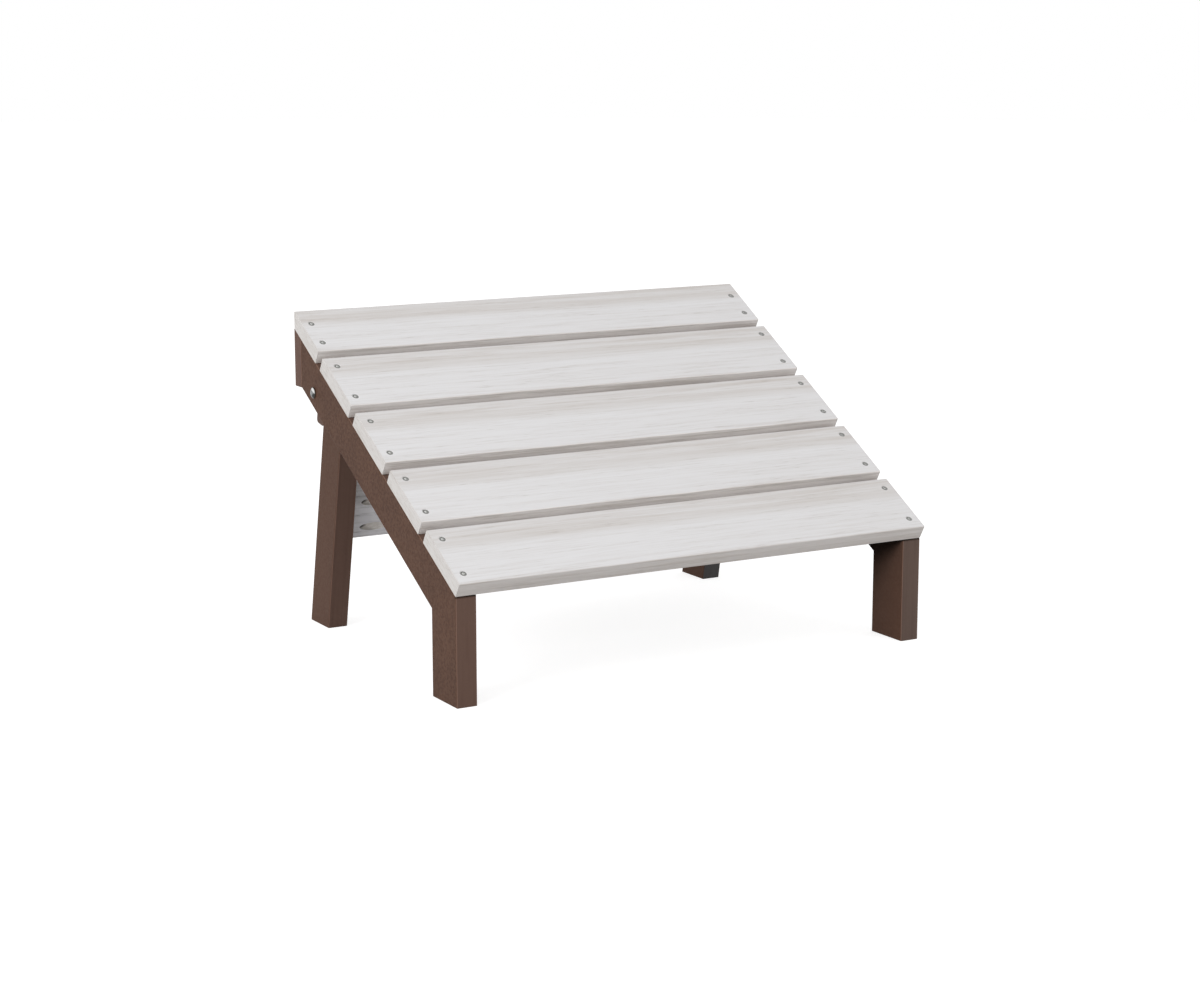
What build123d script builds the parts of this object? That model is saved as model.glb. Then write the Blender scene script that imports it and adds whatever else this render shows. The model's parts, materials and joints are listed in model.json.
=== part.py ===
from build123d import *
from math import asin, atan, atan2, cos, degrees, hypot, radians, sin, tan
import os

# A folding footrest of the adirondack family, made of poly-lumber boards.
#
# Two dog-leg side panels carry five sloping slats, and a back apron ties the panels together. The
# rear legs swing on carriage bolts through the side panels. A pocket-screwed stretcher joins them,
# and a stop board lies on their back edges. The legs stand open with the stop board up against the
# apron's underside, and fold up forwards until they lie under the slats.
#
# Millimetres and degrees, +Z up, +X across the slats, the slats rising towards +Y. The pieces are
# modelled with the front face of the front legs at Y = 0. At the end everything moves along Y, so
# that the origin lies on the ground in the middle of the footprint. Left is the -X side.

# ---------------------------------------------------------------- driving dimensions

# Whole footrest
WIDTH = 610.0                 # over the ends of the slats
SLOPE = 30.0                  # of the slats, up from level
FRONT_HEIGHT = 122.0          # ground to the slats' underside, at the front face of the legs

# Side panels, each one board: a sloping rail that turns down into the front leg
SIDE_THICKNESS = 24.7
FRONT_LEG_DEPTH = 58.0
RAIL_DEPTH = 49.6             # square to the slope
ARRIS = 1.0                   # bevel round the broad faces of the brown boards

# Slats
FULL_SLATS = 4
SLAT_WIDTH = 89.7
SLAT_GAP = 13.2
SLAT_THICKNESS = 18.0
SLAT_CORNER = 1.2             # radius along the long edges
REAR_SLAT_WIDTH = 69.8        # on its underside, up to the plumb back edge

# Back apron
APRON_THICKNESS = 19.2

# Rear legs
LEG_WIDTH = 50.3
LEG_THICKNESS = 25.0
LEG_TO_SLATS = 8.65           # from a leg's rounded top to the slats' underside
LEG_TO_APRON = 9.25           # from a leg's rounded top to the apron's front face
STOP_CLEARANCE = 0.3          # stop board to apron when open, and foot to slat when folded

# Stop board, screwed to the back edges of both legs
STOP_THICKNESS = 19.2
STOP_WIDTH = 46.2
STOP_BELOW_PIVOT = 7.0        # to its upper edge, along the leg
STOP_CORNER = 2.4             # radius along its long edges
STOP_SCREW_FROM_EDGE = 12.0

# Stretcher, ripped from the slat board
STRETCHER_WIDTH = 66.5
STRETCHER_BELOW_PIVOT = 119.6  # to its upper edge, along the leg

# Pocket holes and their screws
POCKET_RADIUS = 4.75
POCKET_ANGLE = 15.0           # off the face of the stretcher
POCKET_SEAT = 14.0            # from the end of the stretcher to the screw's seat, along the hole
POCKET_FROM_TOP = 21.6        # from the stretcher's upper edge to the first hole
POCKET_SPACING = 31.8
POCKET_SCREW_LENGTH = 32.0
POCKET_HEAD_RADIUS = 4.2
POCKET_HEAD_HEIGHT = 2.2

# Countersunk thread-forming screws with blunt ends, for the slats and the apron
SCREW_LENGTH = 38.0
SCREW_SHANK_RADIUS = 2.1
SCREW_HEAD_RADIUS = 4.0
SCREW_HEAD_ANGLE = 82.0
SCREW_RECESS = 0.5            # head below the board's face
SCREW_FROM_EDGE = 16.5        # from the long edges of a slat
HOLE_CLEARANCE = 0.1          # all round a screw in its hole
APRON_SCREWS = ((8.0, 10.0), (17.5, 32.0))  # each in from the panel's face, up from the rail's foot

# Pivot hardware, 1/4 inch
BOLT_RADIUS = 3.175
BOLT_HEAD_RADIUS = 7.0
BOLT_HEAD_HEIGHT = 3.4
BOLT_HEAD_RIM = 0.8
BOLT_NECK_OVERSIZE = 0.25     # square neck under the head, wider than the shank
BOLT_NECK_DEPTH = 4.0
BOLT_END_BEVEL = 0.8
BOLT_TAIL = 2.0               # past the nut
BOLT_CLEARANCE = 0.06         # all round the shank and the neck
SPACER_THICKNESS = 1.5
SPACER_RADIUS = 8.0
WASHER_THICKNESS = 1.6
WASHER_RADIUS = 9.0
FACE_CLEARANCE = 0.1          # between a leg and the washers on its two faces
NUT_FLATS = 11.1
NUT_HEIGHT = 5.6
NUT_COLLAR_RADIUS = 4.9
NUT_COLLAR_HEIGHT = 2.3
NUT_BEVEL = 0.7               # on the corners at the open end

# ---------------------------------------------------------------- places that follow from them

SLOPE_COS = cos(radians(SLOPE))
SLOPE_TAN = tan(radians(SLOPE))
SLAT_PITCH = SLAT_WIDTH + SLAT_GAP
REAR_SLAT_START = FULL_SLATS * SLAT_PITCH
STRETCHER_THICKNESS = SLAT_THICKNESS
CUT_RISE = 5.0                # how far a hole's cutter stands out of the board


def deck_height(y):
    """Height of the slats' underside above the ground at y."""
    return FRONT_HEIGHT + y * SLOPE_TAN


def rail_foot(y):
    """Height of the rail's lower edge above the ground at y."""
    return deck_height(y) - RAIL_DEPTH / SLOPE_COS


APRON_BACK = (REAR_SLAT_START + REAR_SLAT_WIDTH) * SLOPE_COS
APRON_FRONT = APRON_BACK - APRON_THICKNESS

PIVOT_BELOW_SLATS = LEG_WIDTH / 2 + LEG_TO_SLATS
PIVOT_Y = APRON_FRONT - LEG_TO_APRON - LEG_WIDTH / 2
PIVOT_Z = deck_height(PIVOT_Y) - PIVOT_BELOW_SLATS / SLOPE_COS

SIDE_OUTER = WIDTH / 2
SIDE_INNER = SIDE_OUTER - SIDE_THICKNESS
LEG_OUTER = SIDE_INNER - SPACER_THICKNESS - FACE_CLEARANCE
LEG_INNER = LEG_OUTER - LEG_THICKNESS


def open_lean():
    """Lean of the rear legs from plumb, where the stop board's upper corner meets the apron."""
    behind = LEG_WIDTH / 2 + STOP_THICKNESS - STOP_CORNER
    below = STOP_BELOW_PIVOT + STOP_CORNER
    rise = rail_foot(APRON_FRONT) - STOP_CLEARANCE - STOP_CORNER - PIVOT_Z
    return degrees(asin(rise / hypot(behind, below)) + atan2(below, behind))


LEAN = open_lean()
LEAN_SIN = sin(radians(LEAN))
LEAN_COS = cos(radians(LEAN))


def leg_foot(offset):
    """Distance from the pivot down to the ground, along a leg, at an offset behind its middle line."""
    return (PIVOT_Z + offset * LEAN_SIN) / LEAN_COS


def fold_sweep():
    """Angle from the open stop to where the foot's front corner comes up under the slats."""
    half = LEG_WIDTH / 2
    reach = leg_foot(-half)
    past_parallel = asin((PIVOT_BELOW_SLATS - STOP_CLEARANCE) / hypot(reach, half)) - atan(half / reach)
    return 90 - SLOPE + LEAN + degrees(past_parallel)


# Local planes. On the deck, y runs up the slope and z stands square to the slats. On the legs,
# y runs backwards and z up the leg. On the left pivot, z runs out of the side panel's face.
DECK = Plane(origin=(0, 0, FRONT_HEIGHT), x_dir=(1, 0, 0), z_dir=(0, -SLOPE_TAN * SLOPE_COS, SLOPE_COS))
LEGS = Plane(origin=(0, PIVOT_Y, PIVOT_Z), x_dir=(1, 0, 0), z_dir=(0, -LEAN_SIN, LEAN_COS))
LEFT_PIVOT = Plane(origin=(-SIDE_OUTER, PIVOT_Y, PIVOT_Z), x_dir=(0, 1, 0), z_dir=(-1, 0, 0))


# ---------------------------------------------------------------- boards

def board(outline, low_x, high_x):
    """A board cut to a side outline (y, z), from low_x to high_x, with sharp edges."""
    return extrude(Plane.YZ.offset(low_x) * outline, high_x - low_x)


def eased(board):
    """A board with a small bevel round both of its X faces."""
    return chamfer(board.faces().filter_by(Axis.X).edges(), ARRIS)


def polygon(*corners):
    """A flat face with straight sides."""
    return make_face(Polyline(*corners, close=True))


def both_sides(left):
    """A piece of the left side and its mirror image on the right."""
    return left, mirror(left, about=Plane.YZ)


def slat(start, underside_width, plumb_back=False):
    """A slat that lies across both rails, with its front edge at start along the slope."""
    lap = SLAT_THICKNESS * SLOPE_TAN if plumb_back else 0.0
    outline = polygon(
        (start, 0),
        (start + underside_width, 0),
        (start + underside_width + lap, SLAT_THICKNESS),
        (start, SLAT_THICKNESS),
    )
    outline = fillet(outline.vertices(), SLAT_CORNER)
    return DECK * board(outline, -SIDE_OUTER, SIDE_OUTER)


def side_panel():
    """The left side panel: rail and front leg in one dog-leg board, its rear end cut plumb."""
    outline = polygon(
        (0, 0),
        (FRONT_LEG_DEPTH, 0),
        (FRONT_LEG_DEPTH, rail_foot(FRONT_LEG_DEPTH)),
        (APRON_FRONT, rail_foot(APRON_FRONT)),
        (APRON_FRONT, deck_height(APRON_FRONT)),
        (0, FRONT_HEIGHT),
    )
    return eased(board(outline, -SIDE_OUTER, -SIDE_INNER))


def back_apron():
    """The apron: full width over the rails' rear ends, its top sloping with the slats."""
    outline = polygon(
        (APRON_FRONT, rail_foot(APRON_FRONT)),
        (APRON_BACK, rail_foot(APRON_FRONT)),
        (APRON_BACK, deck_height(APRON_BACK)),
        (APRON_FRONT, deck_height(APRON_FRONT)),
    )
    return eased(board(outline, -SIDE_OUTER, SIDE_OUTER))


def rear_leg():
    """The left rear leg: top rounded about the pivot, foot cut level with the ground."""
    half = LEG_WIDTH / 2
    front_foot = (-half, -leg_foot(-half))
    back_foot = (half, -leg_foot(half))
    sides = Polyline((-half, 0), front_foot, back_foot, (half, 0))
    top = ThreePointArc((half, 0), (0, half), (-half, 0))
    return LEGS * eased(board(make_face([sides, top]), -LEG_OUTER, -LEG_INNER))


def rounded(low_y, high_y, low_z, high_z, radius):
    """A rectangular side outline with four rounded corners."""
    outline = polygon((low_y, low_z), (high_y, low_z), (high_y, high_z), (low_y, high_z))
    return fillet(outline.vertices(), radius)


def stretcher():
    """The board between the rear legs, butted to their inner faces."""
    half = STRETCHER_THICKNESS / 2
    top = -STRETCHER_BELOW_PIVOT
    outline = rounded(-half, half, top - STRETCHER_WIDTH, top, SLAT_CORNER)
    return LEGS * board(outline, -LEG_INNER, LEG_INNER)


def stop_board():
    """The board on the back edges of both rear legs, flush with their outer faces."""
    near = LEG_WIDTH / 2
    top = -STOP_BELOW_PIVOT
    outline = rounded(near, near + STOP_THICKNESS, top - STOP_WIDTH, top, STOP_CORNER)
    return LEGS * board(outline, -LEG_OUTER, LEG_OUTER)


# ---------------------------------------------------------------- screws and their holes

def turned(*outline):
    """A solid turned about Z from its half outline (radius, z)."""
    return revolve(Plane.XZ * polygon(*outline), Axis.Z)


HEAD_SLOPE = tan(radians(SCREW_HEAD_ANGLE / 2))


def countersunk_screw():
    """A countersunk screw, head up at Z = 0."""
    return turned(
        (0, 0),
        (SCREW_HEAD_RADIUS, 0),
        (SCREW_SHANK_RADIUS, (SCREW_SHANK_RADIUS - SCREW_HEAD_RADIUS) / HEAD_SLOPE),
        (SCREW_SHANK_RADIUS, -SCREW_LENGTH),
        (0, -SCREW_LENGTH),
    )


def countersunk_hole():
    """The cutter for a countersunk screw's hole: its cone flares out past the face of the board."""
    shank_radius = SCREW_SHANK_RADIUS + HOLE_CLEARANCE
    head_radius = SCREW_HEAD_RADIUS + HOLE_CLEARANCE
    depth = SCREW_LENGTH + HOLE_CLEARANCE
    return turned(
        (0, CUT_RISE),
        (head_radius + CUT_RISE * HEAD_SLOPE, CUT_RISE),
        (shank_radius, (shank_radius - head_radius) / HEAD_SLOPE),
        (shank_radius, -depth),
        (0, -depth),
    )


def slat_screw_places(start, underside_width):
    """Places of the four screws of one slat, two into the middle of each side panel."""
    across = SIDE_OUTER - SIDE_THICKNESS / 2
    ups = (start + SCREW_FROM_EDGE, start + underside_width - SCREW_FROM_EDGE)
    head = SLAT_THICKNESS - SCREW_RECESS
    return [DECK * Pos(side * across, up, head) for side in (-1, 1) for up in ups]


def apron_screw_places():
    """Places of the screws through the apron into the rear ends of both rails."""
    head = APRON_BACK - SCREW_RECESS
    return [
        Pos(side * (SIDE_OUTER - inset), head, rail_foot(APRON_FRONT) + up) * Rot(X=-90)
        for side in (-1, 1)
        for inset, up in APRON_SCREWS
    ]


def stop_screw_places():
    """Places of the screws through the stop board, two into the back edge of each leg."""
    across = (LEG_OUTER + LEG_INNER) / 2
    head = LEG_WIDTH / 2 + STOP_THICKNESS - SCREW_RECESS
    downs = (STOP_BELOW_PIVOT + STOP_SCREW_FROM_EDGE, STOP_BELOW_PIVOT + STOP_WIDTH - STOP_SCREW_FROM_EDGE)
    return [LEGS * Pos(side * across, head, -down) * Rot(X=-90) for side in (-1, 1) for down in downs]


def pocket_screw():
    """A pocket screw with a flat-bottomed head, seated at Z = 0."""
    return turned(
        (0, POCKET_HEAD_HEIGHT),
        (POCKET_HEAD_RADIUS, POCKET_HEAD_HEIGHT),
        (POCKET_HEAD_RADIUS, 0),
        (SCREW_SHANK_RADIUS, 0),
        (SCREW_SHANK_RADIUS, -POCKET_SCREW_LENGTH),
        (0, -POCKET_SCREW_LENGTH),
    )


def pocket_hole():
    """The cutter for a slanting pocket, which leaves through the board's face, and its pilot hole."""
    length = (STRETCHER_THICKNESS / 2 + POCKET_RADIUS) / sin(radians(POCKET_ANGLE))
    shank_radius = SCREW_SHANK_RADIUS + HOLE_CLEARANCE
    depth = POCKET_SCREW_LENGTH + HOLE_CLEARANCE
    return turned(
        (0, length),
        (POCKET_RADIUS, length),
        (POCKET_RADIUS, 0),
        (shank_radius, 0),
        (shank_radius, -depth),
        (0, -depth),
    )


def pocket_places():
    """Places of the pocket screws' seats, two at each end of the stretcher."""
    angle = radians(POCKET_ANGLE)
    places = []
    for side in (-1, 1):
        for step in (0, 1):
            down = STRETCHER_BELOW_PIVOT + POCKET_FROM_TOP + step * POCKET_SPACING
            inwards = Vector(-side * cos(angle), -sin(angle), 0)
            seat = Vector(side * LEG_INNER, 0, -down) + inwards * POCKET_SEAT
            places.append(LEGS.location * Plane(origin=seat, z_dir=inwards).location)
    return places


# ---------------------------------------------------------------- left pivot, z out of the panel

LEG_FACE = SIDE_OUTER - LEG_INNER              # from the panel's outer face to the leg's inner face
WASHER_FACE = LEG_FACE + FACE_CLEARANCE
NUT_FACE = WASHER_FACE + WASHER_THICKNESS
BOLT_END = NUT_FACE + NUT_HEIGHT + NUT_COLLAR_HEIGHT + BOLT_TAIL


def shank_hole(depth):
    """A hole for the bolt's shank, from outside the panel down to a depth, as a cutter."""
    return Pos(0, 0, -depth) * Cylinder(
        BOLT_RADIUS + BOLT_CLEARANCE, depth + CUT_RISE, align=(Align.CENTER, Align.CENTER, Align.MIN)
    )


def bolt_neck(grow=0.0):
    """The square neck under the bolt's head, grown all round to make its hole."""
    size = 2 * BOLT_RADIUS + BOLT_NECK_OVERSIZE + 2 * grow
    return Box(size, size, BOLT_NECK_DEPTH + grow, align=(Align.CENTER, Align.CENTER, Align.MAX))


def pivot_bolt():
    """A carriage bolt: domed head, square neck and a round shank with a bevelled end."""
    dome_height = BOLT_HEAD_HEIGHT - BOLT_HEAD_RIM
    dome_radius = (BOLT_HEAD_RADIUS**2 + dome_height**2) / (2 * dome_height)
    blank = Cylinder(BOLT_HEAD_RADIUS, BOLT_HEAD_HEIGHT, align=(Align.CENTER, Align.CENTER, Align.MIN))
    head = blank & Pos(0, 0, BOLT_HEAD_HEIGHT - dome_radius) * Sphere(dome_radius)
    shank = turned(
        (0, 0),
        (BOLT_RADIUS, 0),
        (BOLT_RADIUS, BOLT_END_BEVEL - BOLT_END),
        (BOLT_RADIUS - BOLT_END_BEVEL, -BOLT_END),
        (0, -BOLT_END),
    )
    return LEFT_PIVOT * (head + bolt_neck() + shank)


def ring(radius, near, thickness):
    """A washer round the bolt, its outer face at a depth of near."""
    disc = Pos(0, 0, -near) * Cylinder(radius, thickness, align=(Align.CENTER, Align.CENTER, Align.MAX))
    return LEFT_PIVOT * (disc - shank_hole(near + thickness + CUT_RISE))


def lock_nut():
    """A hexagonal lock nut, bevelled where it meets the washer, with a round nylon collar."""
    hexagon = extrude(RegularPolygon(NUT_FLATS / 2, 6, major_radius=False), -NUT_HEIGHT)
    corner_radius = NUT_FLATS / 2 / cos(radians(30))
    blank = Cylinder(corner_radius, NUT_HEIGHT, align=(Align.CENTER, Align.CENTER, Align.MAX))
    blank = chamfer(blank.edges().filter_by(GeomType.CIRCLE).sort_by(Axis.Z)[-1:], NUT_BEVEL)
    collar = Pos(0, 0, -NUT_HEIGHT) * Cylinder(
        NUT_COLLAR_RADIUS, NUT_COLLAR_HEIGHT, align=(Align.CENTER, Align.CENTER, Align.MAX)
    )
    nut = Pos(0, 0, -NUT_FACE) * ((hexagon & blank) + collar)
    return LEFT_PIVOT * (nut - shank_hole(BOLT_END + CUT_RISE))


# ---------------------------------------------------------------- assembly

def drilled(piece, places, cutter):
    """A piece with a cutter's hole at each place."""
    return piece - [place * cutter for place in places]


def build():
    """All the pieces by name, in the modelling frame."""
    pieces = {}

    slats = {
        f"slat_{FULL_SLATS + 1 - number}": (number * SLAT_PITCH, SLAT_WIDTH, False) for number in range(FULL_SLATS)
    }
    slats["slat_1"] = (REAR_SLAT_START, REAR_SLAT_WIDTH, True)
    screw, screw_hole = countersunk_screw(), countersunk_hole()
    all_places = apron_screw_places()
    for name, (start, underside_width, plumb_back) in slats.items():
        places = slat_screw_places(start, underside_width)
        pieces[name] = drilled(slat(start, underside_width, plumb_back), places, screw_hole)
        pieces[f"{name}_screws"] = Compound([place * screw for place in places])
        all_places += places

    left_side = side_panel() - LEFT_PIVOT * (shank_hole(SIDE_THICKNESS + CUT_RISE) + bolt_neck(BOLT_CLEARANCE))
    for name, panel in zip(("side_left", "side_right"), both_sides(left_side)):
        pieces[name] = drilled(panel, all_places, screw_hole)

    pieces["back_apron"] = drilled(back_apron(), all_places, screw_hole)
    pieces["apron_screws"] = Compound([place * screw for place in apron_screw_places()])

    pocket_cutter = pocket_hole()
    left_leg = rear_leg() - LEFT_PIVOT * shank_hole(LEG_FACE + CUT_RISE)
    for name, leg in zip(("rear_leg_left", "rear_leg_right"), both_sides(left_leg)):
        pieces[name] = drilled(drilled(leg, pocket_places(), pocket_cutter), stop_screw_places(), screw_hole)
    pieces["stop_board"] = drilled(stop_board(), stop_screw_places(), screw_hole)
    pieces["stop_screws"] = Compound([place * screw for place in stop_screw_places()])
    pieces["stretcher"] = drilled(stretcher(), pocket_places(), pocket_cutter)
    pieces["pocket_screws"] = Compound([place * pocket_screw() for place in pocket_places()])

    hardware = {
        "pivot_bolt": pivot_bolt(),
        "spacer": ring(SPACER_RADIUS, SIDE_THICKNESS, SPACER_THICKNESS),
        "washer": ring(WASHER_RADIUS, WASHER_FACE, WASHER_THICKNESS),
        "lock_nut": lock_nut(),
    }
    for name, piece in hardware.items():
        pieces[f"{name}_left"], pieces[f"{name}_right"] = both_sides(piece)
    return pieces


pieces = build()
front = min(piece.bounding_box().min.Y for piece in pieces.values())
back = max(piece.bounding_box().max.Y for piece in pieces.values())
to_origin = Pos(0, -(front + back) / 2, 0)

os.makedirs("parts", exist_ok=True)
for name, piece in pieces.items():
    export_step(to_origin * piece, f"parts/{name}.step")

pivot = to_origin * Pos(0, PIVOT_Y, PIVOT_Z)
print(f"rear leg pivot {pivot.position.Y:.3f}, {pivot.position.Z:.3f}; lean {LEAN:.3f}; folds by {fold_sweep():.3f}")
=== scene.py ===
"""Looks of a folding adirondack footrest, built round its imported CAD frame.

Every board, screw and bolt is modelled here with rounded edges, sunk screws and pocket holes, at
the place and size that the CAD node has. Metres, +Z up, +X across the slats, +Y up the slope.
"""

import json
import logging
import math
from collections.abc import Callable, Iterable, Iterator, Sequence
from contextlib import contextmanager
from dataclasses import dataclass
from enum import Enum

import bmesh
import bpy
from mathutils import Matrix, Vector


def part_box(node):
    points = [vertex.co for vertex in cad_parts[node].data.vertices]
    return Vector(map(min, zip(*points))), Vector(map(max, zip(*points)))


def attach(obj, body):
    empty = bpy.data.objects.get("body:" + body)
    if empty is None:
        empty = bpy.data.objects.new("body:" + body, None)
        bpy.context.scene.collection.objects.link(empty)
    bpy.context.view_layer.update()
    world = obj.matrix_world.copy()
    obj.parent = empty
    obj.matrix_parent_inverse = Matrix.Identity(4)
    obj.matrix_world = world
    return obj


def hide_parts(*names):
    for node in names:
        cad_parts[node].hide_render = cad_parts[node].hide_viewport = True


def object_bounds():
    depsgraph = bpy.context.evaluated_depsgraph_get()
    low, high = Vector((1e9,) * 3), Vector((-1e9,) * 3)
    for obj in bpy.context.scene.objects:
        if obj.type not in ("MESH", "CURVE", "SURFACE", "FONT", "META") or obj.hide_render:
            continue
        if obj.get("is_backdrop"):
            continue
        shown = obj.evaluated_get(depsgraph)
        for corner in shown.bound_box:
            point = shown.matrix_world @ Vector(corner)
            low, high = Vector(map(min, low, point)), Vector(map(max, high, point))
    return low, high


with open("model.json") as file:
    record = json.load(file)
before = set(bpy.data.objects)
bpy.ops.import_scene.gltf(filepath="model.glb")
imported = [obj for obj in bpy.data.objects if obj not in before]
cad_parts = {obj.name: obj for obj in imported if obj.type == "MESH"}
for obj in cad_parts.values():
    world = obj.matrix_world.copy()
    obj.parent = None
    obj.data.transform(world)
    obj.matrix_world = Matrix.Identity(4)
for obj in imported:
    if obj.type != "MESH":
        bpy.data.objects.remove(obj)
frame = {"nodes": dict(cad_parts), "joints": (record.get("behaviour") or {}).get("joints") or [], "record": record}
cad_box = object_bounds()

log = logging.getLogger("footrest")

Piece = bpy.types.Object
Material = bpy.types.Material
Colour = tuple[float, float, float, float]
Point = tuple[float, float, float]
Outline = list[tuple[float, float]]
Test = Callable[..., bool]

# The slats' numbers, from the rear one to the front one.
SLATS = range(1, 6)

# The angle between the pocket screws and the stretcher's length, in degrees.
POCKET_ANGLE = 15.0

WHITE = (1.0, 1.0, 1.0, 1.0)

# How near two places are to be taken as one: to select by, to compare along X, and to weld.
NEAR = 1e-4
SAME = 1e-5
WELD = 1e-6

# How far a boring tool reaches past both ends of its bore.
PAST = 0.002


def turn(degrees: float, axis: str) -> Matrix:
    """A turn about an axis through the origin."""
    return Matrix.Rotation(math.radians(degrees), 4, axis)


def in_x_face(a: Vector, b: Vector) -> bool:
    """Whether the edge between two corners lies in a face that looks along X."""
    return abs(a.x - b.x) < SAME


class Body(Enum):
    """The two bodies that the pieces ride on."""

    FRAME = "frame"
    REAR_LEGS = "rear_leg_frame"


class Slot(Enum):
    """The record's material slots."""

    WHITE = "slat_board"
    BROWN = "brown_board"
    STEEL = "stainless"


class Side(Enum):
    """The two sides of the footrest, each with its sign along X."""

    LEFT = -1
    RIGHT = 1

    @property
    def word(self) -> str:
        """The side's name, as it ends a piece's name."""
        return self.name.lower()

    @property
    def outwards(self) -> Matrix:
        """The turn that points a board's own X out of this side."""
        return turn(90 - 90 * self.value, "Z")


class Element(Enum):
    """What a mesh is selected by."""

    CORNER = "VERT"
    EDGE = "EDGE"
    FACE = "FACE"

    def listed(self, mesh: bmesh.types.BMesh) -> Iterator[tuple]:
        """Lists the elements of this kind.

        Args:
            mesh: The mesh.

        Returns:
            Each element, with a corner's place, an edge's two ends or a face's middle and normal.
        """
        if self is Element.CORNER:
            return ((corner, (corner.co,)) for corner in mesh.verts)
        if self is Element.EDGE:
            return ((edge, tuple(corner.co for corner in edge.verts)) for edge in mesh.edges)
        return ((face, (face.calc_center_median(), face.normal)) for face in mesh.faces)


@dataclass(frozen=True)
class Lie:
    """How a board lies: a place at its middle, and half of its size along its own axes."""

    place: Matrix
    half: Vector

    @classmethod
    def between(cls, plane: Matrix, low: Vector, high: Vector, turned: Matrix = Matrix()) -> "Lie":
        """The lie of a board that fills a box.

        Args:
            plane: The plane that the box is measured on.
            low: The box's lowest corner.
            high: Its highest corner.
            turned: How the board's own axes are turned from the plane's.

        Returns:
            The lie.
        """
        half = turned.to_3x3().transposed() @ (high - low) / 2
        place = plane @ Matrix.Translation((low + high) / 2) @ turned
        return cls(place, Vector([abs(part) for part in half]))


# A board whose grain runs along X and whose outer face looks along +Y.
GRAIN_ACROSS = turn(90, "Z") @ turn(90, "X")


def srgb(red: int, green: int, blue: int) -> Colour:
    """A colour given in eight-bit sRGB.

    Args:
        red: Red, from 0 to 255.
        green: Green, from 0 to 255.
        blue: Blue, from 0 to 255.

    Returns:
        The linear red, green and blue, with an alpha of 1.
    """
    shares = [value / 255 for value in (red, green, blue)]
    linear = [s / 12.92 if s <= 0.04045 else ((s + 0.055) / 1.055) ** 2.4 for s in shares]
    return linear[0], linear[1], linear[2], 1.0


# ---------------------------------------------------------------- shader graphs

class Wire:
    """A shader value that takes part in Python expressions."""

    def __init__(self, graph: "Graph", socket: bpy.types.NodeSocket) -> None:
        """Wraps an output socket of a graph."""
        self.graph = graph
        self.socket = socket

    def _math(self, operation: str, *values: "Wire | float") -> "Wire":
        """A Math node on this value and others."""
        return self.graph.node("ShaderNodeMath", {"operation": operation}, dict(enumerate(values)))

    def __add__(self, other: "Wire | float") -> "Wire":
        """This value plus another."""
        return self._math("ADD", self, other)

    __radd__ = __add__

    def __sub__(self, other: "Wire | float") -> "Wire":
        """This value less another."""
        return self._math("SUBTRACT", self, other)

    def __rsub__(self, other: "Wire | float") -> "Wire":
        """A number less this value."""
        return self._math("SUBTRACT", other, self)

    def __mul__(self, other: "Wire | float") -> "Wire":
        """This value times another."""
        return self._math("MULTIPLY", self, other)

    __rmul__ = __mul__

    def __abs__(self) -> "Wire":
        """This value without its sign."""
        return self._math("ABSOLUTE", self)

    def climb(self, low: float, high: float) -> "Wire":
        """0 below low, 1 above high and a smooth climb between them."""
        sockets = {"Value": self, "From Min": low, "From Max": high}
        return self.graph.node("ShaderNodeMapRange", {"interpolation_type": "SMOOTHSTEP"}, sockets)

    def beside(self, out: str) -> "Wire":
        """Another output of the node that this value comes from."""
        return Wire(self.graph, self.socket.node.outputs[out])


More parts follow.
